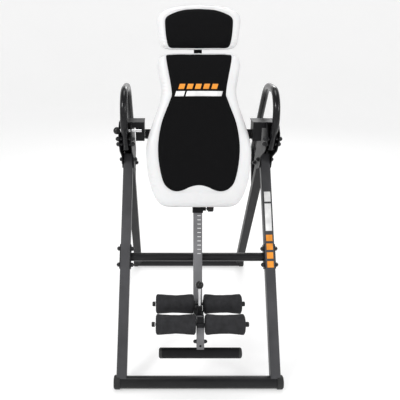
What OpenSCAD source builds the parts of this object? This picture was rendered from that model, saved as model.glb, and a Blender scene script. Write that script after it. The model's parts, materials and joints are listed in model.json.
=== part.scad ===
// Inversion table: folding A-frame, tilting padded bed, sliding boom and ankle clamp.
// Units are millimetres. +Z is up, the user faces -Y, and Z = 0 is the floor.

/* [Base and legs] */
// Distance between the front and rear base tube centres
base_depth = 1133; // [1080:5:1180]
// Length of the front base tube with its caps
front_base_length = 670; // [660:5:700]
// Length of the rear base tube with its caps
rear_base_length = 648; // [640:5:670]
// Diameter of the round base tubes
base_diameter = 50; // [46:1:52]
// Width of the square leg tubes
leg_width = 40; // [36:1:42]
// Height of the fold hinge above the floor
hinge_height = 828; // [820:1:836]
// Distance between the centres of the two fold hinges
hinge_spacing = 576; // [574:1:580]
// Diameter of the round crossbar
crossbar_diameter = 35; // [30:1:36]

/* [Bed] */
// Height of the tilt axis above the floor
pivot_height = 953; // [948:1:958]
// Angle that the resting bed leans back from upright
bed_lean = 18.4; // [18:0.1:19]
// Width of the backrest at the hips
backrest_width = 413; // [380:1:416]
// Thickness of the backrest foam
cushion_thickness = 30; // [24:1:34]
// Width of the square boom tube
boom_width = 35.5; // [32:0.5:35.5]
// Distance between two boom height marks
mark_pitch = 17; // [15:0.5:17]

/* [Ankle clamp] */
// Diameter of a foam roller at its ends
roller_diameter = 80; // [70:1:82]
// Length of a foam roller
roller_length = 149; // [130:1:150]
// Diameter of the foot bar
foot_bar_diameter = 40; // [34:1:42]
// Length of the foot bar with its caps
foot_bar_length = 310; // [280:2:320]

/* [Handles] */
// Diameter of the handle tube
handle_diameter = 28; // [25:1:30]
// Height of the top of the handle's centre line
handle_height = 1133; // [1120:1:1140]

/* [Hidden] */
$fn = 64;
wall = 2;
tiny = 0.01;

// Base tubes stand in caps whose undersides are cut flat on the floor.
base_radius = base_diameter / 2;
base_z = base_radius + 2;
cap_radius = base_radius + 3;
cap_length = 24;

// The bed's own axes: x across, y through the padding (front is -y), z up along the bed.
// Its origin is the tilt axis.
pivot_from_front = 347.3;
foot_bar_y = -162;
foot_bar_z = -837;
lean_sin = sin(bed_lean);
lean_cos = cos(bed_lean);
front_reach = pivot_from_front + foot_bar_y * lean_cos + foot_bar_z * lean_sin - foot_bar_diameter / 2;

// The origin is the middle of the footprint that the whole object covers.
front_y = -(base_depth + cap_radius + front_reach) / 2;
rear_y = front_y + base_depth;
pivot_y = front_y + pivot_from_front;

// Fold hinge, and the two leg lines in the side view.
hinge_y = front_y + 430;
hinge_x = hinge_spacing / 2;
hinge = [hinge_y, hinge_height];
front_leg_angle = atan2(hinge_y - front_y, hinge_height - base_z);
front_leg_length = norm([hinge_y - front_y, hinge_height - base_z]);
front_foot_x = 305;
rear_top = [front_y + 470, 850];
rear_leg_angle = atan2(rear_y - rear_top[0], rear_top[1] - base_z);
rear_leg_length = norm([rear_y - rear_top[0], rear_top[1] - base_z]);
rear_foot_x = 298;
front_leg_splay = asin((front_foot_x - hinge_x) / front_leg_length);
rear_leg_splay = asin((rear_foot_x - hinge_x) / rear_leg_length);
rear_leg_gap = 25;
rear_bolt_drop = 75;
rear_bolt = rear_top + rear_bolt_drop * [sin(rear_leg_angle), -cos(rear_leg_angle)];
plate_gap = leg_width + 3;
plate_thickness = 3.5;
bolt_radius = 5;
fit = 0.05;

// Crossbar: just behind the boom, between the front legs.
crossbar_y = front_y + 247.7;
crossbar_z = 458.7;
crossbar_along = (crossbar_y - front_y) * sin(front_leg_angle) + (crossbar_z - base_z) * cos(front_leg_angle);
bracket_thickness = 3;
bracket_length = 100;
bracket_bolt_spacing = 66;

// Pivot bracket on each side.
channel_top = 1008;
channel_plate = 4;
lip_bottom = 986;
housing_bottom = 934;
channel_front = front_y + 305;
channel_rear = front_y + 400;
housing_inner = 214;
housing_outer = 248;
housing_depth = 68;
pivot_pin_radius = 8;
bush_radius = 12;

// Angle pin, in front of the left pivot bracket.
angle_pin_y = front_y + 296;
angle_pin_z = 976.6;
angle_pin_radius = 6;
angle_rod_radius = 3.5;
ball_radius = 14.5;
angle_ball_x = -(front_base_length / 2 - ball_radius);

// Handle loop in its own side plane.
handle_radius = handle_diameter / 2;
handle_path = [
    [front_y + 312, 904.7], [front_y + 236, 1012], [front_y + 236, handle_height],
    [front_y + 472, handle_height], [front_y + 738, 811], [front_y + 662, 610],
];
handle_bends = [0, 80, 90, 130, 36, 0];
handle_bolt_spots = [[front_y + 282, 947], [front_y + 300, 922]];

// Bed tubes, in bed axes.
sleeve_width = boom_width + 6.5;
sleeve_wall = 2.5;
boom_y = 24.5;
sleeve_bottom = -317;
sleeve_top = 292;
arm_width = 36;
arm_end = 212;
selector_z = -299;
neck_width = 32;
neck_bottom = 190;
neck_length = 250;
pin_gap = 0.4;

// Boom and height marks.
boom_top = -100;
boom_bottom = -739;
mark_count = 14;
first_mark = -270;

// Padding stack through the bed.
board_back = -18;
board_thickness = 12;
cushion_back = board_back - board_thickness;
panel_thickness = 5;

// Ankle clamp, in bed axes.
rear_axle_y = -50;
rear_axle_z = -674.6;
front_axle_y = -162;
front_axle_z = -730;
axle_radius = 6;
axle_half = 168;
rear_roller_inner = 19.2;
front_roller_inner = 17.2;
core_radius = 11;
ankle_sleeve_width = 33;
ankle_sleeve_z = -719;
ankle_sleeve_front = -126;
slide_width = 28;
slide_back = -30;
post_top = ankle_sleeve_z + slide_width / 2;
post_bottom = foot_bar_z + foot_bar_diameter / 2 - 4;
ankle_pin_y = -112;
ankle_ball_z = -590;
pin_collar_z = ankle_sleeve_z + ankle_sleeve_width / 2 + 1;
foot_bolt_z = -794;
foot_hole_z = -808;
ankle_ball_radius = 15.5;
ankle_pin_radius = 5;
housing_top = -670;

// Smooth curve through a few knots: rounds each span with its neighbours.
function knot(k, i) = k[min(max(i, 0), len(k) - 1)];
function curve_point(k, i, t) =
    let (a = knot(k, i - 1), b = knot(k, i), c = knot(k, i + 1), d = knot(k, i + 2))
    0.5 * (2 * b + (c - a) * t + (2 * a - 5 * b + 4 * c - d) * t * t + (3 * b - a - 3 * c + d) * t * t * t);
function curve(k, steps) = concat(
    [for (i = [0 : len(k) - 2], s = [0 : steps - 1]) curve_point(k, i, s / steps)],
    [k[len(k) - 1]]);
function mirrored(half) = concat(half, [for (i = [len(half) - 1 : -1 : 0]) [-half[i][0], half[i][1]]]);

// Half outlines as [half width, height along the bed], from the top down.
hip = backrest_width / 2;
backrest_half = curve([
    [100, 311], [146, 301], [163, 270], [156, 218], [147.5, 161], [159, 102], [hip - 25, 38],
    [hip - 2, -45], [hip - 1, -115], [hip - 12, -194], [hip - 36, -257], [hip - 66, -287], [90, -293],
], 4);
panel_half = curve([
    [128, 306], [126, 275], [106, 160], [113, 123], [hip - 62, 40], [hip - 48, -40], [hip - 50, -115],
    [hip - 66, -190], [118, -220], [88, -231], [50, -224], [22, -212], [3, -208],
], 4);
headrest_half = curve([
    [3, 500], [60, 498], [115, 489], [152, 470], [164, 441], [160, 398], [153, 355], [138, 333], [105, 327],
], 4);
head_panel_half = curve([
    [3, 480], [60, 476], [105, 461], [129, 444], [132, 415], [126, 360], [114, 331], [85, 327.5],
], 4);

module bed_axes() { translate([0, pivot_y, pivot_height]) rotate([-bed_lean, 0, 0]) children(); }
module both_sides() { for (side = [0, 1]) mirror([side, 0, 0]) children(); }
module along_x() { rotate([0, 90, 0]) children(); }
module along_y() { rotate([-90, 0, 0]) children(); }
module side_view() { rotate([90, 0, 90]) children(); }

// Rounded square, from straight and round pieces only.
module soft_square(w, r) {
    square([w - 2 * r, w], center = true);
    square([w, w - 2 * r], center = true);
    for (x = [-1, 1], y = [-1, 1]) translate([x * (w / 2 - r), y * (w / 2 - r)]) circle(r);
}
module square_tube(length, w, t = wall, r = 4) {
    linear_extrude(length) difference() {
        soft_square(w, r);
        soft_square(w - 2 * t, r - t / 2);
    }
}
module square_bar(length, w, r = 4) { linear_extrude(length) soft_square(w, r); }
module round_tube(length, r, t = wall) {
    along_x() difference() {
        cylinder(h = length, r = r, center = true);
        cylinder(h = length + 2, r = r - t, center = true);
    }
}

// Hexagon-headed bolt along +X with a washer and a nut, centred on the origin.
module hex_bolt(grip, r = bolt_radius) {
    along_x() {
        cylinder(h = grip + 24, r = r, center = true);
        for (end = [-1, 1]) {
            translate([0, 0, end * (grip / 2 + 1)]) cylinder(h = 2, r = 2 * r, center = true);
            translate([0, 0, end * (grip / 2 + 5.5)]) cylinder(h = 7, r = 1.75 * r, $fn = 6, center = true);
        }
    }
}

// Bent round tube in a plane: straight runs and arcs, a hair apart so that each stays a true round.
function unit(v) = v / norm(v);
function turn_at(p, i) = let (a = unit(p[i] - p[i - 1]), b = unit(p[i + 1] - p[i]))
    atan2(a[0] * b[1] - a[1] * b[0], a * b);
function trim_at(p, bends, i) =
    (i == 0 || i == len(p) - 1) ? 0 : bends[i] * tan(abs(turn_at(p, i)) / 2);
hair = 0.02;
module tube_runs(p, bends, r) {
    for (i = [0 : len(p) - 2]) {
        way = unit(p[i + 1] - p[i]);
        start = p[i] + way * (trim_at(p, bends, i) + hair);
        length = norm(p[i + 1] - p[i]) - trim_at(p, bends, i) - trim_at(p, bends, i + 1) - 2 * hair;
        translate([start[0], start[1], 0]) rotate([0, 0, atan2(way[1], way[0])]) along_x() difference() {
            cylinder(h = length, r = r);
            translate([0, 0, -1]) cylinder(h = length + 2, r = r - wall);
        }
    }
}
module tube_arcs(p, bends, r) {
    for (i = [1 : len(p) - 2]) {
        way = unit(p[i] - p[i - 1]);
        turn = turn_at(p, i);
        hand = sign(turn);
        start = p[i] - way * trim_at(p, bends, i);
        centre = start + hand * bends[i] * [-way[1], way[0]];
        from = atan2(start[1] - centre[1], start[0] - centre[0]);
        translate([centre[0], centre[1], 0]) rotate([0, 0, hand > 0 ? from : from + turn])
            rotate_extrude(angle = abs(turn)) translate([bends[i], 0]) circle(r);
    }
}

// A leg's own axes: origin at the base tube's centre, z up the leg, x across.
module front_leg_axes() {
    translate([front_foot_x, front_y, base_z])
        rotate([-front_leg_angle, 0, 0])
        rotate([0, -front_leg_splay, 0])
        children();
}
module rear_leg_axes() {
    translate([rear_foot_x, rear_y, base_z])
        rotate([rear_leg_angle, 0, 0])
        rotate([0, -rear_leg_splay, 0])
        children();
}

// --- Rear frame ---
module base_tube(length, y) {
    translate([0, y, base_z]) round_tube(length - 8, base_radius, 2);
}
module end_cap(length, y) {
    translate([length / 2 - cap_length, y, base_z]) intersection() {
        along_x() difference() {
            union() {
                cylinder(h = cap_length - 4, r = cap_radius);
                translate([0, 0, cap_length - 4 - tiny])
                    cylinder(h = 4 + tiny, r1 = cap_radius, r2 = cap_radius - 4);
            }
            translate([0, 0, -1]) cylinder(h = cap_length - 4 + 1, r = base_radius);
        }
        translate([-1, -cap_radius - 1, -base_z])
            cube([cap_length + 2, 2 * cap_radius + 2, 2 * cap_radius + 2]);
    }
}
module rear_base_tube() { color([0.10, 0.10, 0.11]) base_tube(rear_base_length, rear_y); }
module front_base_tube() { color([0.10, 0.10, 0.11]) base_tube(front_base_length, front_y); }
module rear_end_caps() { color([0.06, 0.06, 0.06]) both_sides() end_cap(rear_base_length, rear_y); }
module front_end_caps() { color([0.06, 0.06, 0.06]) both_sides() end_cap(front_base_length, front_y); }

// Room in a leg's foot for the base tube and its cap.
module base_cut(length, y) {
    translate([0, y, base_z]) along_x() cylinder(h = 2 * length, r = base_radius, center = true);
    translate([length / 2 - cap_length - fit, y, base_z]) along_x()
        cylinder(h = length, r = cap_radius + fit);
}

module rear_leg() {
    difference() {
        rear_leg_axes() square_tube(rear_leg_length - rear_leg_gap, leg_width);
        base_cut(rear_base_length, rear_y);
        translate([hinge_x, rear_bolt[0], rear_bolt[1]]) along_x()
            cylinder(h = 90, r = bolt_radius, center = true);
    }
}
module rear_leg_left() { color([0.13, 0.13, 0.14]) mirror([1, 0, 0]) rear_leg(); }
module rear_leg_right() { color([0.13, 0.13, 0.14]) rear_leg(); }

// Two side plates with a web along the upper rear edge.
plate_top = channel_top - channel_plate;
plate_outline = [
    [front_y + 258, 945], [front_y + 264, 972], [front_y + 296, plate_top], [front_y + 400, plate_top],
    [front_y + 520, 842], [front_y + 548, 800], [front_y + 515, 762], [front_y + 405, 798],
    [front_y + 385, 850], [front_y + 300, 893],
];
module upper_bracket(with_angle_pin) {
    difference() {
        union() {
            for (side = [-1, 1])
                translate([hinge_x + side * (plate_gap + plate_thickness) / 2 - plate_thickness / 2, 0, 0])
                    side_view() linear_extrude(plate_thickness) polygon(plate_outline);
            translate([hinge_x - plate_gap / 2 - tiny, 0, 0]) side_view() linear_extrude(plate_gap + 2 * tiny)
                polygon([plate_outline[3], plate_outline[4], plate_outline[4] - [4, 3],
                    plate_outline[3] - [4, 3]]);
        }
        for (spot = concat([hinge, rear_bolt], handle_bolt_spots))
            translate([hinge_x, spot[0], spot[1]]) along_x() cylinder(h = 80, r = bolt_radius, center = true);
        // The inner plate guides the angle pin; the outer plate has a wider hole that its ball knob sits in.
        if (with_angle_pin) {
            translate([hinge_x - plate_gap / 2, angle_pin_y, angle_pin_z]) along_x()
                cylinder(h = 20, r = angle_pin_radius + fit, center = true);
            translate([hinge_x + plate_gap / 2, angle_pin_y, angle_pin_z]) along_x()
                cylinder(h = 20, r = ball_radius - 1, center = true);
        }
    }
}
module upper_bracket_left() { color([0.05, 0.05, 0.05]) mirror([1, 0, 0]) upper_bracket(true); }
module upper_bracket_right() { color([0.05, 0.05, 0.05]) upper_bracket(false); }

// Folded channel over the side plates, with the housing that carries the tilt axis.
module pivot_bracket() {
    outer = hinge_x + plate_gap / 2 + plate_thickness;
    lip_outer = hinge_x - plate_gap / 2 - plate_thickness - 0.5;
    plate = channel_plate;
    width = housing_outer - housing_inner;
    wall_height = channel_top - housing_bottom - plate + tiny;
    difference() {
        union() {
            translate([housing_inner, channel_front, channel_top - plate])
                cube([outer - housing_inner, channel_rear - channel_front, plate]);
            translate([housing_inner, channel_front, lip_bottom])
                cube([lip_outer - housing_inner, plate, channel_top - lip_bottom - plate + tiny]);
            translate([housing_inner, channel_front, housing_bottom])
                cube([width, plate, lip_bottom - housing_bottom + tiny]);
            for (x = [housing_inner, housing_outer - plate])
                translate([x, channel_front + plate - tiny, housing_bottom])
                    cube([plate, housing_depth, wall_height]);
        }
        translate([housing_inner - 1, pivot_y, pivot_height]) along_x()
            cylinder(h = width + 2, r = bush_radius);
    }
}
module pivot_bracket_left() { color([0.05, 0.05, 0.05]) mirror([1, 0, 0]) pivot_bracket(); }
module pivot_bracket_right() { color([0.05, 0.05, 0.05]) pivot_bracket(); }
module pivot_bushes() {
    color([0.85, 0.84, 0.78]) both_sides() translate([housing_inner, pivot_y, pivot_height])
        along_x() difference() {
        cylinder(h = housing_outer - housing_inner, r = bush_radius);
        translate([0, 0, -1]) cylinder(h = housing_outer - housing_inner + 2, r = pivot_pin_radius + fit);
    }
}

module handle() {
    difference() {
        translate([hinge_x, 0, 0]) side_view() tube_runs(handle_path, handle_bends, handle_radius);
        for (spot = handle_bolt_spots)
            translate([hinge_x, spot[0], spot[1]]) along_x() cylinder(h = 80, r = bolt_radius, center = true);
        rear_leg_axes() translate([-60, -80, 0]) cube([120, 80 + leg_width / 2, rear_leg_length]);
    }
    translate([hinge_x, 0, 0]) side_view() difference() {
        tube_arcs(handle_path, handle_bends, handle_radius);
        tube_arcs(handle_path, handle_bends, handle_radius - wall);
    }
}
module handle_left() { color([0.04, 0.04, 0.04]) mirror([1, 0, 0]) handle(); }
module handle_right() { color([0.04, 0.04, 0.04]) handle(); }
module handle_bolts() {
    color([0.1, 0.1, 0.1]) both_sides() for (spot = handle_bolt_spots)
        translate([hinge_x, spot[0], spot[1]]) hex_bolt(plate_gap + 2 * plate_thickness);
}
module leg_bolts() {
    color([0.1, 0.1, 0.1]) both_sides() for (spot = [hinge, rear_bolt])
        translate([hinge_x, spot[0], spot[1]]) hex_bolt(plate_gap + 2 * plate_thickness);
}

// --- Front frame ---
module front_leg() {
    difference() {
        front_leg_axes() square_tube(front_leg_length + leg_width / 2, leg_width);
        base_cut(front_base_length, front_y);
        translate([hinge_x, hinge[0], hinge[1]]) along_x()
            cylinder(h = 90, r = bolt_radius + fit, center = true);
        crossbar_bolt_places() along_x() cylinder(h = leg_width + 30, r = bolt_radius, center = true);
    }
}
module crossbar_bolt_places() {
    front_leg_axes() for (end = [-1, 1])
        translate([0, 0, crossbar_along + end * bracket_bolt_spacing / 2]) children();
}
module front_leg_left() { color([0.26, 0.26, 0.28]) mirror([1, 0, 0]) front_leg(); }
module front_leg_right() { color([0.26, 0.26, 0.28]) front_leg(); }

// Saddle that wraps the back of the leg.
module crossbar_bracket() {
    outer = leg_width + 2 * bracket_thickness;
    difference() {
        front_leg_axes() translate([0, 0, crossbar_along - bracket_length / 2]) difference() {
            translate([-outer / 2, -leg_width / 2 + 2, 0])
                cube([outer, leg_width - 2 + bracket_thickness, bracket_length]);
            translate([-leg_width / 2, -leg_width, -1])
                cube([leg_width, 1.5 * leg_width, bracket_length + 2]);
        }
        crossbar_bolt_places() along_x() cylinder(h = leg_width + 30, r = bolt_radius, center = true);
    }
}
module crossbar_brackets() { color([0.1, 0.1, 0.1]) both_sides() crossbar_bracket(); }
module crossbar_bolts() {
    color([0.1, 0.1, 0.1]) both_sides() crossbar_bolt_places() hex_bolt(leg_width + 2 * bracket_thickness);
}
module crossbar() {
    color([0.1, 0.1, 0.11]) difference() {
        translate([0, crossbar_y, crossbar_z]) round_tube(2 * front_foot_x, crossbar_diameter / 2);
        both_sides() front_leg_axes() translate([-leg_width / 2 - bracket_thickness, -100, 0])
            cube([200, 200, 900]);
    }
}

// --- Bed ---
module main_tube() {
    color([0.06, 0.06, 0.06]) bed_axes() difference() {
        union() {
            translate([0, boom_y, sleeve_bottom])
                square_tube(sleeve_top - sleeve_bottom, sleeve_width, sleeve_wall, 4);
            translate([sleeve_width / 2 - tiny, boom_y, selector_z]) along_x() cylinder(h = 12, r = 10);
        }
        translate([sleeve_width / 2 - 6, boom_y, selector_z]) along_x() cylinder(h = 30, r = 4 + fit);
    }
}
module cross_arms() {
    color([0.06, 0.06, 0.06]) bed_axes() both_sides() translate([sleeve_width / 2, 0, 0]) {
        along_x() square_tube(arm_end - sleeve_width / 2 - 3, arm_width);
        along_x() translate([0, 0, arm_end - sleeve_width / 2 - 3 - tiny]) square_bar(3 + tiny, arm_width);
    }
}
module pivot_pins() {
    color("silver") bed_axes() both_sides() translate([arm_end, 0, 0]) along_x() {
        cylinder(h = housing_outer - arm_end - 1, r = pivot_pin_radius);
    }
}
module headrest_guide() {
    color([0.12, 0.12, 0.12]) bed_axes() translate([0, boom_y, sleeve_top - 40]) difference() {
        union() {
            square_bar(40, sleeve_width - 2 * sleeve_wall, 2.75);
            translate([0, 0, 40 - tiny]) square_bar(3 + tiny, sleeve_width, 4);
        }
        translate([0, 0, -1]) square_bar(46, neck_width + 0.2, 4);
    }
}
module pad_plate(half, back, thickness) {
    translate([0, back, 0]) rotate([90, 0, 0]) linear_extrude(thickness) polygon(mirrored(half));
}
function inset(half, by, middle) = [for (p = half) [max(p[0] - by, 1), p[1] + (p[1] > middle ? -by : by)]];
module backrest_board() {
    color([0.16, 0.13, 0.10]) bed_axes() pad_plate(inset(backrest_half, 8, 0), board_back, board_thickness);
}
module backrest_cushion() {
    color([0.93, 0.93, 0.92]) bed_axes() pad_plate(backrest_half, cushion_back, cushion_thickness);
}
module backrest_panel() {
    color([0.03, 0.03, 0.03]) bed_axes()
        pad_plate(panel_half, cushion_back - cushion_thickness, panel_thickness);
}

// --- Headrest ---
module neck_bar() {
    block_width = 22;
    block_depth = boom_y - neck_width / 2 - board_back + wall / 4;
    color([0.06, 0.06, 0.06]) bed_axes() union() {
        translate([0, boom_y, neck_bottom]) square_tube(neck_length, neck_width);
        for (z = [350, 420])
            translate([-block_width / 2, board_back, z]) cube([block_width, block_depth, 24]);
    }
}
module headrest_board() {
    color([0.16, 0.13, 0.10]) bed_axes() pad_plate(inset(headrest_half, 8, 413), board_back, board_thickness);
}
module headrest_cushion() {
    color([0.93, 0.93, 0.92]) bed_axes() pad_plate(headrest_half, cushion_back, cushion_thickness);
}
module headrest_panel() {
    color([0.03, 0.03, 0.03]) bed_axes()
        pad_plate(head_panel_half, cushion_back - cushion_thickness, panel_thickness);
}

// --- Height selector ---
module selector_pin() {
    color("silver") bed_axes() translate([boom_width / 2 + pin_gap, boom_y, selector_z]) along_x()
        cylinder(h = 26, r = 4);
}
module selector_knob() {
    color([0.03, 0.03, 0.03]) bed_axes()
        translate([boom_width / 2 + pin_gap + 18, boom_y, selector_z]) along_x()
        difference() {
            union() {
                cylinder(h = 5, r = 9);
                translate([0, 0, 5 - tiny]) cylinder(h = 20, r = 14);
                translate([0, 0, 25 - 2 * tiny]) cylinder(h = 3, r1 = 14, r2 = 10);
            }
            translate([0, 0, -1]) cylinder(h = 9, r = 4);
        }
}

// --- Boom ---
module boom_tube() {
    color([0.36, 0.36, 0.38]) bed_axes() difference() {
        translate([0, boom_y, boom_bottom]) square_tube(boom_top - boom_bottom, boom_width);
        for (i = [0 : mark_count - 1])
            translate([boom_width / 2 - 4, boom_y, first_mark - i * mark_pitch]) along_x()
                cylinder(h = 10, r = 4.5);
    }
}
module height_marks() {
    mark = 0.3;
    color("white") bed_axes() for (i = [0 : mark_count - 2])
        translate([-2, boom_y - boom_width / 2 - mark, first_mark - (i + 0.5) * mark_pitch])
            cube([14, mark, 2.6]);
}
module ankle_sleeve() {
    w = ankle_sleeve_width;
    back = boom_y - boom_width / 2;
    plate = 2;
    color([0.05, 0.05, 0.05]) bed_axes() difference() {
        union() {
            translate([0, back, ankle_sleeve_z]) rotate([90, 0, 0])
                square_tube(back - ankle_sleeve_front, w, (w - slide_width) / 2 - 0.4, 4);
            for (side = [-1, 1])
                translate([
                    side * (w + plate) / 2 - plate / 2 - side * tiny, rear_axle_y - 16, ankle_sleeve_z - 10
                ])
                    cube([plate, 32, rear_axle_z + 14 - ankle_sleeve_z + 10]);
            translate([0, ankle_pin_y, ankle_sleeve_z + w / 2 - tiny]) difference() {
                cylinder(h = housing_top - ankle_sleeve_z - w / 2 + tiny, r = 11);
                translate([0, 0, tiny]) cylinder(h = housing_top - ankle_sleeve_z - w / 2 - 4, r = 8.5);
            }
        }
        translate([-60, rear_axle_y, rear_axle_z]) along_x() cylinder(h = 120, r = axle_radius);
        translate([0, ankle_pin_y, ankle_sleeve_z + slide_width / 2])
            cylinder(h = 60, r = ankle_pin_radius + fit);
    }
}
module axle(y, z) {
    bed_axes() translate([0, y, z]) along_x() cylinder(h = 2 * axle_half, r = axle_radius, center = true);
}
module axle_caps(y, z) {
    bed_axes() both_sides() translate([axle_half - 6, y, z]) along_x() difference() {
        union() {
            translate([0, 0, 8]) cylinder(h = 10, r = 9.5);
            translate([0, 0, 18 - tiny]) cylinder(h = 2, r1 = 9.5, r2 = 7.5);
        }
        translate([0, 0, -1]) cylinder(h = 7, r = axle_radius);
    }
}
module rear_axle() { color("silver") axle(rear_axle_y, rear_axle_z); }
module front_axle() { color("silver") axle(front_axle_y, front_axle_z); }
module rear_axle_caps() { color([0.05, 0.05, 0.05]) axle_caps(rear_axle_y, rear_axle_z); }
module front_axle_caps() { color([0.05, 0.05, 0.05]) axle_caps(front_axle_y, front_axle_z); }

// --- Ankle pull pin ---
module ankle_pin() {
    tip = ankle_sleeve_z + slide_width / 2 + 0.5;
    color("silver") bed_axes() translate([0, ankle_pin_y, 0]) {
        translate([0, 0, tip]) cylinder(h = ankle_ball_z - ankle_ball_radius + 2 - tip, r = ankle_pin_radius);
        translate([0, 0, pin_collar_z]) cylinder(h = 3, r = 8);
    }
}
module ankle_pin_spring() {
    bottom = pin_collar_z + 3;
    top = housing_top - 4;
    coils = 5;
    wire = 0.8;
    pitch = (top - bottom - 2 * wire) / (coils - 1);
    color([0.6, 0.6, 0.62]) bed_axes() translate([0, ankle_pin_y, bottom + wire])
        for (i = [0 : coils - 1]) translate([0, 0, i * pitch]) rotate_extrude()
            translate([6.8, 0]) circle(wire);
}
module ankle_pin_knob() {
    color([0.03, 0.03, 0.03]) bed_axes() translate([0, ankle_pin_y, ankle_ball_z]) difference() {
        sphere(ankle_ball_radius);
        translate([0, 0, -ankle_ball_radius - 1]) cylinder(h = 3, r = ankle_pin_radius);
    }
}

// --- Ankle carriage ---
module slide_tube() {
    color([0.3, 0.3, 0.32]) bed_axes() translate([0, slide_back, ankle_sleeve_z]) rotate([90, 0, 0])
        square_tube(slide_back - front_axle_y - slide_width / 2, slide_width, wall, 3);
}
module front_post() {
    color([0.30, 0.30, 0.32]) bed_axes() difference() {
        translate([0, front_axle_y, post_bottom]) square_tube(post_top - post_bottom, slide_width, wall, 3);
        translate([-40, front_axle_y, front_axle_z]) along_x() cylinder(h = 80, r = axle_radius);
        translate([-40, front_axle_y, foot_bolt_z]) along_x() cylinder(h = 80, r = 4);
        translate([0, front_axle_y, foot_hole_z]) rotate([90, 0, 0]) cylinder(h = 30, r = 4.5);
        translate([0, front_axle_y, foot_bar_z]) along_x()
            cylinder(h = 60, r = foot_bar_diameter / 2, center = true);
    }
}
module front_clamp() {
    front = front_axle_y - slide_width / 2;
    color([0.03, 0.03, 0.03]) bed_axes() difference() {
        union() {
            translate([-12, front - 8, front_axle_z]) cube([24, 8, 32]);
            translate([0, front - 8, front_axle_z]) along_x() cylinder(h = 27, r = 8, center = true);
        }
        translate([-20, front, front_axle_z - 20]) cube([40, 20, 60]);
    }
}
module foot_bar() {
    inner = slide_width - 2 * wall - 0.6;
    color([0.05, 0.05, 0.05]) bed_axes() difference() {
        union() {
            translate([0, front_axle_y, foot_bar_z]) round_tube(foot_bar_length - 24, foot_bar_diameter / 2);
            translate([0, front_axle_y, foot_bar_z + foot_bar_diameter / 2 - 3])
                square_tube(60, inner, wall, 2.5);
        }
        translate([0, front_axle_y, foot_bar_z]) along_x()
            cylinder(h = 60, r = foot_bar_diameter / 2 - wall, center = true);
        translate([-40, front_axle_y, foot_bolt_z]) along_x() cylinder(h = 80, r = 4);
    }
}
module foot_bar_caps() {
    r = foot_bar_diameter / 2;
    color([0.04, 0.04, 0.04]) bed_axes() both_sides()
        translate([foot_bar_length / 2 - 12, front_axle_y, foot_bar_z]) along_x() {
            rotate_extrude() {
                square([r - 8, 12]);
                square([r, 4]);
                intersection() {
                    translate([r - 8, 4]) circle(8);
                    translate([0, 3]) square([r, 9]);
                }
            }
            translate([0, 0, -10]) cylinder(h = 10 + tiny, r = r - wall);
        }
}
module foot_bolt() {
    color([0.1, 0.1, 0.1]) bed_axes() translate([0, front_axle_y, foot_bolt_z]) hex_bolt(slide_width, 4);
}

// --- Angle pin ---
module angle_pin() {
    thick_from = -(hinge_x + plate_gap / 2 + 2);
    thick_to = -housing_inner - 10;
    rod_end = angle_ball_x + ball_radius - 3;
    color("silver") translate([thick_from, angle_pin_y, angle_pin_z]) along_x() rotate_extrude() polygon([
        [0, rod_end - thick_from], [angle_rod_radius, rod_end - thick_from],
        [angle_rod_radius, 0], [angle_pin_radius, 0],
        [angle_pin_radius, thick_to - thick_from], [0, thick_to - thick_from],
    ]);
}
module angle_pin_knob() {
    color([0.03, 0.03, 0.03]) translate([angle_ball_x, angle_pin_y, angle_pin_z]) difference() {
        sphere(ball_radius);
        translate([ball_radius - 3, 0, 0]) along_x() cylinder(h = 6, r = angle_rod_radius);
    }
}

// --- Foam rollers: waisted foam on a plastic core ---
module roller_foam(y, z, inner) {
    r = roller_diameter / 2;
    waist = 4;
    sag = (pow(roller_length / 2 - 12, 2) + waist * waist) / (2 * waist);
    bed_axes() translate([inner, y, z]) along_x() difference() {
        cylinder(h = roller_length, r = r - 1);
        translate([0, 0, -1]) cylinder(h = roller_length + 2, r = core_radius);
        rotate_extrude() difference() {
            translate([r - 1 - waist + sag, roller_length / 2]) circle(sag, $fn = 128);
            translate([r + 30, -100]) square([2 * sag, roller_length + 200]);
        }
    }
}
module roller_core(y, z, inner) {
    bed_axes() translate([inner, y, z]) along_x() difference() {
        cylinder(h = roller_length, r = core_radius);
        translate([0, 0, -1]) cylinder(h = roller_length + 2, r = axle_radius + fit);
    }
}
foam = [0.09, 0.09, 0.10];
core = [0.12, 0.12, 0.12];
module roller_foam_rear_left() {
    color(foam) mirror([1, 0, 0]) roller_foam(rear_axle_y, rear_axle_z, rear_roller_inner);
}
module roller_core_rear_left() {
    color(core) mirror([1, 0, 0]) roller_core(rear_axle_y, rear_axle_z, rear_roller_inner);
}
module roller_foam_rear_right() {
    color(foam) roller_foam(rear_axle_y, rear_axle_z, rear_roller_inner);
}
module roller_core_rear_right() {
    color(core) roller_core(rear_axle_y, rear_axle_z, rear_roller_inner);
}
module roller_foam_front_left() {
    color(foam) mirror([1, 0, 0]) roller_foam(front_axle_y, front_axle_z, front_roller_inner);
}
module roller_core_front_left() {
    color(core) mirror([1, 0, 0]) roller_core(front_axle_y, front_axle_z, front_roller_inner);
}
module roller_foam_front_right() {
    color(foam) roller_foam(front_axle_y, front_axle_z, front_roller_inner);
}
module roller_core_front_right() {
    color(core) roller_core(front_axle_y, front_axle_z, front_roller_inner);
}

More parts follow.
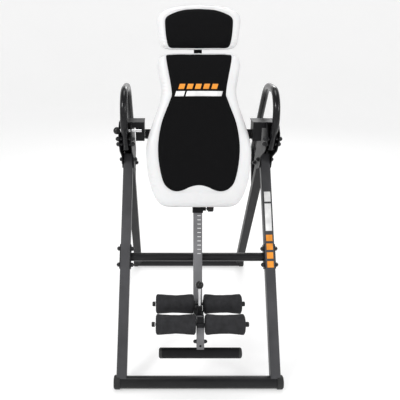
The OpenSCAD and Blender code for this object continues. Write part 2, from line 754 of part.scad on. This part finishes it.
rear_base_tube();
rear_end_caps();
rear_leg_left();
rear_leg_right();
upper_bracket_left();
upper_bracket_right();
pivot_bracket_left();
pivot_bracket_right();
pivot_bushes();
handle_left();
handle_right();
handle_bolts();
leg_bolts();
front_base_tube();
front_end_caps();
front_leg_left();
front_leg_right();
crossbar();
crossbar_brackets();
crossbar_bolts();
main_tube();
cross_arms();
pivot_pins();
headrest_guide();
backrest_board();
backrest_cushion();
backrest_panel();
neck_bar();
headrest_board();
headrest_cushion();
headrest_panel();
selector_pin();
selector_knob();
boom_tube();
height_marks();
ankle_sleeve();
rear_axle();
rear_axle_caps();
ankle_pin();
ankle_pin_spring();
ankle_pin_knob();
slide_tube();
front_post();
front_clamp();
front_axle();
front_axle_caps();
foot_bar();
foot_bar_caps();
foot_bolt();
angle_pin();
angle_pin_knob();
roller_foam_rear_left();
roller_core_rear_left();
roller_foam_rear_right();
roller_core_rear_right();
roller_foam_front_left();
roller_core_front_left();
roller_foam_front_right();
roller_core_front_right();
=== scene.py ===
"""Inversion table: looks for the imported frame. Lengths are in metres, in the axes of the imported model."""
import json
import math

import bmesh
import bpy
import numpy as np
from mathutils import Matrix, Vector
from mathutils.kdtree import KDTree


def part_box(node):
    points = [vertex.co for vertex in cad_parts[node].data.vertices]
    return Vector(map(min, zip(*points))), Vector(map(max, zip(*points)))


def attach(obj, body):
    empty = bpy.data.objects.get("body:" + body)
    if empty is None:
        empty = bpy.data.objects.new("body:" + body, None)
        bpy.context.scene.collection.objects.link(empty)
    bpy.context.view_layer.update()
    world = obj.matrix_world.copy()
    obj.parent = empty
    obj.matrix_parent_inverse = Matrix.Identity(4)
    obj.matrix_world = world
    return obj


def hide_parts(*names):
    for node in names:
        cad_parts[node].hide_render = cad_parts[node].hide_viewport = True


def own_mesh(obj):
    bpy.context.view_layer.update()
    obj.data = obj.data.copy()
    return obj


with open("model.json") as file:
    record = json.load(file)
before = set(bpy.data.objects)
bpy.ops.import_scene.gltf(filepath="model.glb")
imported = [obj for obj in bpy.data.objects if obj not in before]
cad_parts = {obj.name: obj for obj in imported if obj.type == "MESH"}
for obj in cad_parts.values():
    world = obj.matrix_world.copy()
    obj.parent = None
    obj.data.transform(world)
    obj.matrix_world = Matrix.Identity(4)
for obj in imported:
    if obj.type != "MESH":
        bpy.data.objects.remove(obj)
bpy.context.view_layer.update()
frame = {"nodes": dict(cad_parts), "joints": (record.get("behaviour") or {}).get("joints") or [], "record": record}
NODES = frame["nodes"]
JOINTS = {joint["name"]: joint for joint in frame["joints"]}

# --- The frame's own places ---
FRONT_Y = (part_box("front_base_tube")[0].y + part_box("front_base_tube")[1].y) / 2
PIVOT = Vector(JOINTS["bed_tilt"]["pos_m"])
BED_UP = Vector(JOINTS["headrest_height"]["axis"])
BED_FRONT = Vector(JOINTS["ankle_clamp"]["axis"])


def bed_point(x, y, z):
    """A point given in the bed's own axes: x across, y towards its back, z up along it."""
    return PIVOT + Vector((x, 0, 0)) - BED_FRONT * y + BED_UP * z


def to_bed(point):
    """The reverse of bed_point."""
    away = Vector(point) - PIVOT
    return away.x, -away.dot(BED_FRONT), away.dot(BED_UP)


# --- Camera: lens and sensor in millimetres, shift in sensor widths ---
CAMERA_AT = Vector((-0.1184, FRONT_Y - 1.824, 1.395))
CAMERA_PITCH = math.radians(19.13)
CAMERA_LENS = 49.2
CAMERA_SENSOR = 36
CAMERA_SHIFT = (0.0785, 0.018)


def make_camera():
    data = bpy.data.cameras.new("camera")
    data.sensor_width = CAMERA_SENSOR
    data.lens = CAMERA_LENS
    data.shift_x, data.shift_y = CAMERA_SHIFT
    camera = bpy.data.objects.new("camera", data)
    camera.location = CAMERA_AT
    camera.rotation_euler = (math.pi / 2 - CAMERA_PITCH, 0, 0)
    bpy.context.scene.collection.objects.link(camera)
    bpy.context.scene.camera = camera


make_camera()


# --- Materials: colours are linear, and grain depths are in metres ---
COAT_ROUGHNESS = 0.2
RAMP_ENDS = (0.3, 0.7)


class Material:
    """A Principled material with a few helpers for procedural detail."""

    def __init__(self, name, colour, roughness, metallic=0.0, coat=0.0, specular=0.3):
        self.material = bpy.data.materials.new(name)
        self.material.use_nodes = True
        self.tree = self.material.node_tree
        self.shader = self.tree.nodes["Principled BSDF"]
        self.shader.inputs["Base Color"].default_value = (*colour, 1)
        self.shader.inputs["Roughness"].default_value = roughness
        self.shader.inputs["Metallic"].default_value = metallic
        self.shader.inputs["Coat Weight"].default_value = coat
        self.shader.inputs["Coat Roughness"].default_value = COAT_ROUGHNESS
        self.shader.inputs["Specular IOR Level"].default_value = specular
        self.colour = colour
        self.place = self.tree.nodes.new("ShaderNodeTexCoord").outputs["Object"]

    def node(self, kind, **inputs):
        made = self.tree.nodes.new(kind)
        for name, value in inputs.items():
            made.inputs[name.replace("_", " ")].default_value = value
        return made

    def link(self, source, target):
        self.tree.links.new(source, target)

    def noise(self, scale, detail=4.0, rough=0.5, stretch=None):
        made = self.node("ShaderNodeTexNoise", Scale=scale, Detail=detail, Roughness=rough)
        place = self.place
        if stretch:
            mapping = self.node("ShaderNodeMapping")
            mapping.inputs["Scale"].default_value = stretch
            self.link(place, mapping.inputs["Vector"])
            place = mapping.outputs["Vector"]
        self.link(place, made.inputs["Vector"])
        return made.outputs["Fac"]

    def vary_colour(self, fac, low, high):
        """Base colour runs from low to high times the material's own colour as fac rises."""
        ramp = self.node("ShaderNodeValToRGB")
        ramp.color_ramp.elements[0].position = RAMP_ENDS[0]
        ramp.color_ramp.elements[1].position = RAMP_ENDS[1]
        ramp.color_ramp.elements[0].color = (*[c * low for c in self.colour], 1)
        ramp.color_ramp.elements[1].color = (*[min(c * high, 1) for c in self.colour], 1)
        self.link(fac, ramp.inputs["Fac"])
        self.link(ramp.outputs["Color"], self.shader.inputs["Base Color"])

    def vary_roughness(self, fac, low, high):
        spread = self.node("ShaderNodeMapRange", To_Min=low, To_Max=high)
        self.link(fac, spread.inputs["Value"])
        self.link(spread.outputs["Result"], self.shader.inputs["Roughness"])

    def bump(self, heights, distance, strength=0.6):
        """Adds one bump per height, each feeding the next."""
        normal = None
        for height in heights:
            made = self.node("ShaderNodeBump", Strength=strength, Distance=distance)
            self.link(height, made.inputs["Height"])
            if normal:
                self.link(normal, made.inputs["Normal"])
            normal = made.outputs["Normal"]
        self.link(normal, self.shader.inputs["Normal"])


def powder_coat(name, colour, roughness, grain=0.00006, coat=0.0, specular=0.25):
    """Baked paint: fine orange-peel grain, dusty patches and a slightly uneven gloss."""
    made = Material(name, colour, roughness, coat=coat, specular=specular)
    made.vary_colour(made.noise(scale=9, detail=5), low=0.82, high=1.2)
    patches = made.noise(scale=30, detail=6, rough=0.7)
    made.vary_roughness(patches, low=roughness - 0.07, high=roughness + 0.1)
    made.bump([made.noise(scale=1400, detail=2), made.noise(scale=320, detail=3)], grain)
    return made.material


def moulded_plastic(name, colour, roughness):
    """Moulded plastic with a fine etched grain."""
    made = Material(name, colour, roughness)
    made.vary_colour(made.noise(scale=25, detail=4), low=0.85, high=1.2)
    made.vary_roughness(made.noise(scale=60, detail=5), low=roughness - 0.06, high=roughness + 0.08)
    made.bump([made.noise(scale=900, detail=3)], distance=0.00008)
    return made.material


def plated_steel(name, colour=(0.72, 0.72, 0.73), roughness=0.2):
    """Zinc-plated steel with faint brushing."""
    made = Material(name, colour, roughness, metallic=1.0)
    brushed = made.noise(scale=90, detail=5, rough=0.6, stretch=(8, 1, 1))
    made.vary_roughness(brushed, low=roughness - 0.06, high=roughness + 0.12)
    made.vary_colour(made.noise(scale=35, detail=4), low=0.88, high=1.06)
    scratches = made.noise(scale=500, detail=2, rough=0.5, stretch=(6, 1, 1))
    made.bump([scratches], distance=0.00002)
    return made.material


def grained_vinyl(name, colour):
    """Soft white vinyl: pebbled grain, faint shading and small creases."""
    made = Material(name, colour, roughness=0.42, specular=0.5)
    cells = made.node("ShaderNodeTexVoronoi", Scale=620.0)
    made.link(made.place, cells.inputs["Vector"])
    made.vary_colour(made.noise(scale=7, detail=4), low=0.95, high=1.03)
    made.vary_roughness(made.noise(scale=120, detail=4), low=0.36, high=0.5)
    creases = made.noise(scale=60, detail=4)
    made.bump([cells.outputs["Distance"], creases], distance=0.00016, strength=0.5)
    made.shader.inputs["Subsurface Weight"].default_value = 0.03
    return made.material


def woven_fabric(name, colour):
    """Matt black weave: two crossed sets of threads with fibre noise."""
    made = Material(name, colour, roughness=0.85, specular=0.1)
    threads = []
    for axis in ("X", "Z"):
        wave = made.node("ShaderNodeTexWave", Scale=260.0, Distortion=1.2, Detail=2.0)
        wave.bands_direction = axis
        made.link(made.place, wave.inputs["Vector"])
        threads.append(wave.outputs["Fac"])
    made.vary_colour(made.noise(scale=300, detail=6, rough=0.7), low=0.6, high=1.6)
    made.bump([*threads, made.noise(scale=900, detail=3)], distance=0.00022, strength=0.7)
    return made.material


def closed_cell_foam(name, colour):
    """Ankle roller foam: tiny open pores over a slightly mottled skin."""
    made = Material(name, colour, roughness=0.82, specular=0.2)
    pores = made.node("ShaderNodeTexVoronoi", Scale=900.0)
    made.link(made.place, pores.inputs["Vector"])
    made.vary_colour(made.noise(scale=45, detail=6, rough=0.65), low=0.75, high=1.35)
    made.vary_roughness(made.noise(scale=70, detail=4), low=0.72, high=0.92)
    made.bump([pores.outputs["Distance"], made.noise(scale=110, detail=5)], distance=0.0003, strength=0.6)
    return made.material


def plywood(name):
    """Dark-stained board with streaked grain."""
    made = Material(name, (0.045, 0.032, 0.024), roughness=0.65)
    bands = made.noise(scale=18, detail=6, rough=0.6, stretch=(12, 1, 1))
    made.vary_colour(bands, low=0.7, high=1.25)
    fibres = made.noise(scale=140, detail=5, rough=0.6, stretch=(10, 1, 1))
    made.bump([fibres], distance=0.0002)
    return made.material


SLOT_LOOKS = {
    "black_tube": powder_coat("black_tube", (0.010, 0.010, 0.011), 0.3, coat=0.08, specular=0.2),
    "black_plastic": moulded_plastic("black_plastic", (0.018, 0.018, 0.018), 0.5),
    "dark_leg": powder_coat("dark_leg", (0.012, 0.012, 0.013), 0.42, specular=0.2),
    # grey_leg is the same black powder coat as dark_leg, painted lighter: its grey is a painted highlight for the
    # light that the legs' front faces catch.
    "grey_leg": powder_coat("grey_leg", (0.055, 0.055, 0.059), 0.42),
    "black_bracket": powder_coat("black_bracket", (0.007, 0.007, 0.008), 0.42, grain=0.0001, specular=0.15),
    "gloss_handle": powder_coat(
        "gloss_handle", (0.006, 0.006, 0.007), 0.22, grain=0.00002, coat=0.2, specular=0.15),
    "bush_nylon": moulded_plastic("bush_nylon", (0.6, 0.58, 0.5), 0.5),
    "black_bolt": powder_coat("black_bolt", (0.03, 0.03, 0.032), 0.35),
    "bright_steel": plated_steel("bright_steel"),
    "board": plywood("board"),
    "white_vinyl": grained_vinyl("white_vinyl", (0.72, 0.72, 0.725)),
    "black_fabric": woven_fabric("black_fabric", (0.003, 0.003, 0.0034)),
    "gloss_knob": moulded_plastic("gloss_knob", (0.012, 0.012, 0.012), 0.16),
    "grey_boom": powder_coat("grey_boom", (0.17, 0.17, 0.178), 0.42),
    "white_mark": moulded_plastic("white_mark", (0.75, 0.75, 0.75), 0.45),
    "foam": closed_cell_foam("foam", (0.022, 0.022, 0.024)),
    "orange_mark": moulded_plastic("orange_mark", (0.75, 0.27, 0.03), 0.4),
}


def paint_frame():
    """Each CAD node takes the look of its material slot."""
    for part in frame["record"]["subparts"]:
        data = NODES[part["node"]].data
        data.materials.clear()
        data.materials.append(SLOT_LOOKS[part["material_slot"]])


paint_frame()


# --- Mesh helpers ---
def make_mesh(name, verts, faces, slot, look=None):
    """A smooth mesh in a material slot. look names another entry of SLOT_LOOKS to paint it with."""
    data = bpy.data.meshes.new(name)
    data.from_pydata([tuple(v) for v in verts], [], faces)
    data.validate()
    shape = bmesh.new()
    shape.from_mesh(data)
    bmesh.ops.recalc_face_normals(shape, faces=shape.faces)
    shape.to_mesh(data)
    shape.free()
    data.shade_smooth()
    data.materials.append(SLOT_LOOKS[look or slot])
    made = bpy.data.objects.new(name, data)
    bpy.context.scene.collection.objects.link(made)
    return made


# The notch in a pad's bottom edge lies within this height of its lowest point.
NOTCH_ROOM = 0.05
# Decimal places of a row's height, so rows are 0.1 mm apart or more.
ROW_PLACES = 4


def outline_of(node):
    """Half outline of a flat pad node as rows (height along the bed, half width), from the bottom up.
    Rows that only trace the notch in the bottom edge are left out; pad_sheet bends the edge there."""
    points = [to_bed(v.co) for v in NODES[node].data.vertices]
    rows = {}
    for x, _, z in points:
        key = round(z, ROW_PLACES)
        rows[key] = max(rows.get(key, 0), abs(x))
    kept, widest = [], 0
    for z, width in sorted(rows.items()):
        near_bottom = z < min(rows) + NOTCH_ROOM
        if near_bottom and width < widest:
            continue
        widest = max(widest, width)
        kept.append((z, width))
    return np.array(kept)


# Spacing of the outline points that distances from the edge are measured to.
EDGE_SPACING = 0.002


class Pad:
    """Outline of a pad, and how far any point inside it lies from its edge."""

    def __init__(self, node):
        self.rows = outline_of(node)
        self.low, self.high = self.rows[0, 0], self.rows[-1, 0]
        spaced = []
        corners = [(0.0, self.low), *[(w, z) for z, w in self.rows], (0.0, self.high)]
        for (x0, z0), (x1, z1) in zip(corners, corners[1:]):
            steps = max(1, int(math.hypot(x1 - x0, z1 - z0) / EDGE_SPACING))
            spaced += [(x0 + (x1 - x0) * i / steps, z0 + (z1 - z0) * i / steps) for i in range(steps)]
        self.tree = KDTree(len(spaced))
        for i, (x, z) in enumerate(spaced):
            self.tree.insert((x, 0, z), i)
        self.tree.balance()

    def half_width(self, z):
        return float(np.interp(z, self.rows[:, 0], self.rows[:, 1]))

    def edge(self, x, z):
        return self.tree.find((abs(x), 0, z))[2]

    def inside(self, x, z):
        return self.low < z < self.high and abs(x) < self.half_width(z)


def round_over(distance, radius):
    """Height, from 0 to 1, of a rolled edge at a distance in from the outline."""
    t = min(distance / radius, 1.0)
    return math.sqrt(max(0.0, 1 - (1 - t) ** 2))


# The notch's pull on the rows above it fades over this height.
NOTCH_FADE = 0.035


def pad_sheet(pad, depth, notch=0.0, columns=104, rows=190):
    """Front and back skins over a pad outline, closed where they meet. depth(x, z, side) gives y in
    bed axes; side 0 is the front. notch is how far the middle of the bottom edge is pulled up."""
    verts = []
    for side in (0, 1):
        for i in range(rows + 1):
            z = pad.low + (pad.high - pad.low) * (0.5 - 0.5 * math.cos(math.pi * i / rows))
            width = pad.half_width(z)
            for j in range(columns + 1):
                x = -width * math.cos(math.pi * j / columns)
                across = min(abs(x) / pad.rows[0, 1], 1.0)
                centred = 0.5 + 0.5 * math.cos(math.pi * across)
                lift = notch * centred * math.exp(-(z - pad.low) / NOTCH_FADE)
                verts.append(bed_point(x, depth(x, z, side), z + lift))
    faces = []
    row = columns + 1
    back = (rows + 1) * row
    for i in range(rows):
        for j in range(columns):
            a = i * row + j
            faces.append((a, a + 1, a + row + 1, a + row))
            faces.append((back + a, back + a + row, back + a + row + 1, back + a + 1))
    for i in range(rows):
        a, b = i * row, i * row + columns
        faces.append((a, a + row, back + a + row, back + a))
        faces.append((b, back + b, back + b + row, b + row))
    for j in range(columns):
        a, b = j, rows * row + j
        faces.append((a, back + a, back + a + 1, a + 1))
        faces.append((b, b + 1, back + b + 1, back + b))
    return verts, faces


def ripple(x, z, seed):
    """Small smooth unevenness of stuffed fabric, from -1 to 1. Wave numbers are in radians per metre."""
    return (math.sin(23 * x + 17 * z + seed) * math.sin(31 * z - 9 * x + 2 * seed)
            + 0.5 * math.sin(61 * x + seed) * math.sin(47 * z + 3 * seed)) / 1.5


# --- Upholstery ---
# The skins meet this far behind the middle of the pad's thickness.
MIDDLE_BACK = 0.003
# The pad's middle bulges by CROWN, and the bulge builds up over CROWN_REACH in from the edge.
CROWN = 0.009
CROWN_REACH = 0.05
# Radii of the rolled edges.
EDGE_ROLL = 0.030
BACK_ROLL = 0.012
PANEL_ROLL = 0.016
# The groove round the centre panel.
SEAM_WIDTH = 0.007
SEAM_DEPTH = 0.0045
# Effects grow from nothing at an edge to their full size over these distances.
EDGE_FADE = 0.01
RIM_FADE = 0.004
# The panel stands proud by PANEL_LIFT, and the cushion sinks by PANEL_SUNK under it.
PANEL_LIFT = 0.003
PANEL_CLEAR = 0.0004
PANEL_SUNK = 0.003
PANEL_BODY = 0.004
# Gathers near the pad's edge, and the soft unevenness all over it.
PUCKER = 0.0013
PUCKER_REACH = 0.022
RIPPLE = 0.0012
# The stitched line down the middle of the border, below the panel.
STITCH_DEPTH = 0.0022
STITCH_WIDTH = 0.006
STITCH_FADE = 0.01


def upholster(part, body, notch):
    """White pad with a raised black centre panel set into a seam, standing for the two CAD solids.
    Returns the depth of the panel's skin, for the marks that lie on it."""
    cushion_node, panel_node = part + "_cushion", part + "_panel"
    pad, panel = Pad(cushion_node), Pad(panel_node)
    ys = [to_bed(v.co)[1] for v in NODES[cushion_node].data.vertices]
    front, back = min(ys), max(ys)
    middle = (front + back) / 2 + MIDDLE_BACK
    seed = len(part)

    def skin(x, z):
        edge = pad.edge(x, z)
        rise = (middle - front) * round_over(edge, EDGE_ROLL) + CROWN * (1 - math.exp(-edge / CROWN_REACH))
        # Wave numbers are in radians per metre.
        uneven = 0.6 + 0.4 * math.sin(z * 37 + seed)
        waves = math.sin(z * 430 + 3 * math.sin(x * 40))
        pucker = PUCKER * uneven * waves * math.exp(-(edge / PUCKER_REACH) ** 2)
        below_panel = min(max(panel.low - z, 0.0) / STITCH_FADE, 1.0)
        stitch = STITCH_DEPTH * math.exp(-(x / STITCH_WIDTH) ** 2) * below_panel
        return middle - rise + RIPPLE * ripple(x, z, seed) + (pucker + stitch) * min(edge / RIM_FADE, 1)

    def seam(x, z):
        gap = panel.edge(x, z)
        return SEAM_DEPTH * math.exp(-(gap / SEAM_WIDTH) ** 2)

    def cushion_depth(x, z, side):
        if side == 1:
            return middle + (back - middle) * round_over(pad.edge(x, z), BACK_ROLL)
        sunk = PANEL_SUNK if panel.inside(x, z) else 0.0
        edge = min(pad.edge(x, z) / EDGE_FADE, 1.0)
        return skin(x, z) + seam(x, z) * edge + sunk * min(panel.edge(x, z) / RIM_FADE, 1) * edge

    def panel_depth(x, z, side):
        if side == 1:
            return skin(x, z) + SEAM_DEPTH + PANEL_BODY
        lift = PANEL_LIFT * round_over(panel.edge(x, z), PANEL_ROLL) - seam(x, z)
        return skin(x, z) - lift - PANEL_CLEAR

    cushion = make_mesh(part + "_upholstery", *pad_sheet(pad, cushion_depth), "white_vinyl")
    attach(cushion, body)
    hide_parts(cushion_node)
    centre = make_mesh(part + "_centre_panel", *pad_sheet(panel, panel_depth, notch), "black_fabric")
    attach(centre, body)
    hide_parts(panel_node)
    return panel_depth


back_panel_depth = upholster("backrest", "bed", notch=0.023)
upholster("headrest", "headrest", notch=0.0)


# --- Generic marks, in place of any printed name. No slot is orange, so orange marks take the knob's ---
MARK_THICK = 0.0004
MARK_LIFT = 0.0006
MARK_SLANT = 0.006
# Lower and upper edge of each row of bars, as heights along the bed.
ORANGE_ROW = (0.166, 0.186)
WHITE_ROW = (0.138, 0.158)
ORANGE_START = -0.078
ORANGE_STEP = 0.032
ORANGE_LENGTH = 0.022


def patch(name, x0, x1, z0, z1, slot, look):
    """Thin slanted bar that lies on the backrest's centre panel."""
    across, up = 24, 4
    verts = []
    for i in range(up + 1):
        z = z0 + (z1 - z0) * i / up
        for j in range(across + 1):
            x = x0 + (x1 - x0) * j / across + MARK_SLANT * (i / up - 0.5)
            verts.append(bed_point(x, back_panel_depth(x, z, 0) - MARK_LIFT, z))
    row = across + 1
    starts = [i * row + j for i in range(up) for j in range(across)]
    faces = [(a, a + 1, a + row + 1, a + row) for a in starts]
    made = make_mesh(name, verts, faces, slot, look)
    thick = made.modifiers.new("thickness", "SOLIDIFY")
    thick.thickness = MARK_THICK
    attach(made, "bed")


for bar in range(5):
    left = ORANGE_START + bar * ORANGE_STEP
    patch(f"orange_bar_{bar}", left, left + ORANGE_LENGTH, *ORANGE_ROW, "gloss_knob", "orange_mark")
patch("white_bar_wide", -0.050, 0.090, *WHITE_ROW, "white_mark", "white_mark")
patch("white_bar_short", -0.092, -0.057, *WHITE_ROW, "white_mark", "white_mark")

# The leg's centre line, and how far in front of it a sticker lies.
LEG_FOOT_X = 0.305
LEG_FOOT_Z = 0.027
LEG_TOP_X = 0.288
LEG_MARK_OUT = 0.0203
LEG_MARK_HALF = 0.013
LEG_ORANGE_START = 0.452
LEG_ORANGE_END = 0.478
LEG_ORANGE_STEP = 0.036


def leg_mark(name, low, high, look, slot):
    """Thin sticker on the front face of the right front leg, low and high along it from the foot."""
    foot = Vector((LEG_FOOT_X, FRONT_Y, LEG_FOOT_Z))
    hinge = Vector(JOINTS["frame_fold"]["pos_m"])
    hinge.x = LEG_TOP_X
    along = (hinge - foot).normalized()
    across = Vector((1, 0, 0))
    across = (across - along * across.dot(along)).normalized()
    out = along.cross(across) if along.cross(across).y < 0 else -along.cross(across)
    half = LEG_MARK_HALF
    corners = [(-half, low), (half, low), (half, high), (-half, high)]
    layers = (LEG_MARK_OUT, LEG_MARK_OUT + MARK_THICK)
    verts = [foot + across * x + along * z + out * away for away in layers for x, z in corners]
    faces = [(3, 2, 1, 0), (4, 5, 6, 7), (0, 1, 5, 4), (1, 2, 6, 5), (2, 3, 7, 6), (3, 0, 4, 7)]
    made = make_mesh(name, verts, faces, slot, look)
    made.data.shade_flat()
    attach(made, "front_frame")


for bar in range(4):
    low = LEG_ORANGE_START + bar * LEG_ORANGE_STEP
    high = LEG_ORANGE_END + bar * LEG_ORANGE_STEP
    leg_mark(f"leg_orange_bar_{bar}", low, high, "orange_mark", "gloss_knob")
leg_mark("leg_white_bar_long", 0.602, 0.716, "white_mark", "white_mark")
leg_mark("leg_white_bar_short", 0.724, 0.766, "white_mark", "white_mark")


# --- Foam rollers ---
FOAM_WAIST = 0.0045
FOAM_LIP = 0.009
FOAM_LIP_FACE = 0.004
FOAM_BORE = 0.0112
# Dents go on the outer skin only, which lies beyond this radius.
FOAM_DENT = 0.0007
FOAM_SKIN = 0.03
ROLLER_STEPS = 40
ROLLER_TURNS = 72


def lathe_roller(where):
    """Waisted foam sleeve with soft rounded ends, slightly uneven as moulded foam is."""
    node = "roller_foam_" + where
    low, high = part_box(node)
    joint = JOINTS[f"roller_{where}_spin"]
    centre = Vector(joint["pos_m"])
    length = high.x - low.x
    radius = (high.z - low.z) / 2
    rim = radius - FOAM_LIP - FOAM_LIP_FACE
    profile = [(0.0, FOAM_BORE), (0.0, rim)]
    for i in range(ROLLER_STEPS + 1):
        t = i / ROLLER_STEPS
        along = t * length
        end = min(along, length - along)
        full = radius - FOAM_WAIST * math.sin(math.pi * t) ** 1.3
        profile.append((along, full - FOAM_LIP * (1 - round_over(end, FOAM_LIP))))
    profile += [(length, rim), (length, FOAM_BORE)]
    turns = ROLLER_TURNS
    seed = sum(map(ord, where)) % 7
    verts = []
    for along, r in profile:
        for k in range(turns):
            angle = 2 * math.pi * k / turns
            dent = FOAM_DENT * ripple(along * 3, angle / 9, seed) if r > FOAM_SKIN else 0
            reach = r + dent
            spot = (low.x + along - centre.x, reach * math.cos(angle), reach * math.sin(angle))
            verts.append(centre + Vector(spot))
    faces = []
    for i in range(len(profile)):
        n = (i + 1) % len(profile)
        for k in range(turns):
            m = (k + 1) % turns
            faces.append((i * turns + k, n * turns + k, n * turns + m, i * turns + m))
    made = make_mesh(f"foam_sleeve_{where}", verts, faces, "foam")
    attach(made, "roller_" + where)
    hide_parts(node)


for end in ("rear", "front"):
    for side in ("left", "right"):
        lathe_roller(f"{end}_{side}")


# --- Ankle pin spring ---
# Radius of the wire.
COIL_WIRE = 0.0008
COIL_TURNS = 6
COIL_STEPS = 28
COIL_SIDES = 10


def ring_faces(first, second, count):
    """Quads between two rings of count points each, given by their place in the row of rings."""
    faces = []
    for k in range(count):
        m = (k + 1) % count
        faces.append((first * count + k, first * count + m, second * count + m, second * count + k))
    return faces


def coil_spring():
    """One wound coil in place of the CAD's stacked rings."""
    node = "ankle_pin_spring"
    points = np.array([to_bed(v.co) for v in NODES[node].data.vertices])
    low, high = points.min(axis=0), points.max(axis=0)
    wire, sides = COIL_WIRE, COIL_SIDES
    centre_y = (low[1] + high[1]) / 2
    coil_radius = (high[0] - low[0]) / 2 - wire
    rings = COIL_TURNS * COIL_STEPS
    verts = []
    for i in range(rings + 1):
        turn = 2 * math.pi * i / COIL_STEPS
        z = low[2] + wire + (high[2] - low[2] - 2 * wire) * i / rings
        for k in range(sides):
            around = 2 * math.pi * k / sides
            reach = coil_radius + wire * math.cos(around)
            spot = (reach * math.cos(turn), centre_y + reach * math.sin(turn), z + wire * math.sin(around))
            verts.append(bed_point(*spot))
    faces = [tuple(range(sides)), tuple(rings * sides + k for k in reversed(range(sides)))]
    for i in range(rings):
        faces += ring_faces(i, i + 1, sides)
    coil = make_mesh("ankle_pin_coil", verts, faces, "bright_steel")
    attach(coil, "boom")
    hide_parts(node)
    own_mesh(coil)


coil_spring()


# --- Stage ---
PAPER_GLOW = 0.43
WORLD_STRENGTH = 0.45
FLOOR_FLAT = 6.5
FLOOR_BEND = 3.0
WALL_TOP = 8.0
BEND_STEPS = 24
FLOOR_SIDES = 96
LAMP_AIM = Vector((0, 0, 0.8))
LIGHTS = (
    # name, place, side of the square in metres, watts
    ("key", (-2.2, -2.4, 3.2), 0.8, 60),
    ("fill", (2.8, -2.0, 2.2), 0.9, 26),
    ("top", (0, 0.4, 4.2), 1.6, 36),
    ("rim", (0.8, 3.4, 3.0), 1.4, 36),
)


def make_floor():
    """Pale floor that sweeps up into a wall all round."""
    paper = Material("paper", (0.62, 0.62, 0.62), roughness=0.9)
    paper.vary_colour(paper.noise(scale=1.2, detail=3), low=0.99, high=1.01)
    paper.shader.inputs["Emission Color"].default_value = (1, 1, 1, 1)
    paper.shader.inputs["Emission Strength"].default_value = PAPER_GLOW
    flat, bend = FLOOR_FLAT, FLOOR_BEND
    profile = [(0.0, 0.0), (flat * 0.5, 0.0), (flat, 0.0)]
    for i in range(1, BEND_STEPS + 1):
        angle = math.pi / 2 * i / BEND_STEPS
        profile.append((flat + bend * math.sin(angle), bend - bend * math.cos(angle)))
    profile.append((flat + bend, WALL_TOP))
    verts = []
    for radius, z in profile:
        for k in range(FLOOR_SIDES):
            angle = 2 * math.pi * k / FLOOR_SIDES
            verts.append((radius * math.cos(angle), radius * math.sin(angle), z))
    faces = []
    for i in range(len(profile) - 1):
        faces += ring_faces(i, i + 1, FLOOR_SIDES)
    data = bpy.data.meshes.new("floor")
    data.from_pydata(verts, [], faces)
    data.validate()
    data.shade_smooth()
    data.materials.append(paper.material)
    floor = bpy.data.objects.new("floor", data)
    bpy.context.scene.collection.objects.link(floor)


def make_lights():
    """An even white world and four soft square lamps."""
    world = bpy.data.worlds.new("world")
    bpy.context.scene.world = world
    world.use_nodes = True
    world.node_tree.nodes["Background"].inputs["Color"].default_value = (1, 1, 1, 1)
    world.node_tree.nodes["Background"].inputs["Strength"].default_value = WORLD_STRENGTH
    for name, place, size_m, power in LIGHTS:
        light = bpy.data.lights.new(name, "AREA")
        light.size = size_m
        light.energy = power
        lamp = bpy.data.objects.new(name, light)
        lamp.location = place
        lamp.rotation_euler = (LAMP_AIM - Vector(place)).to_track_quat("-Z", "Y").to_euler()
        bpy.context.scene.collection.objects.link(lamp)


make_floor()
make_lights()
bpy.context.scene.view_settings.view_transform = "Standard"
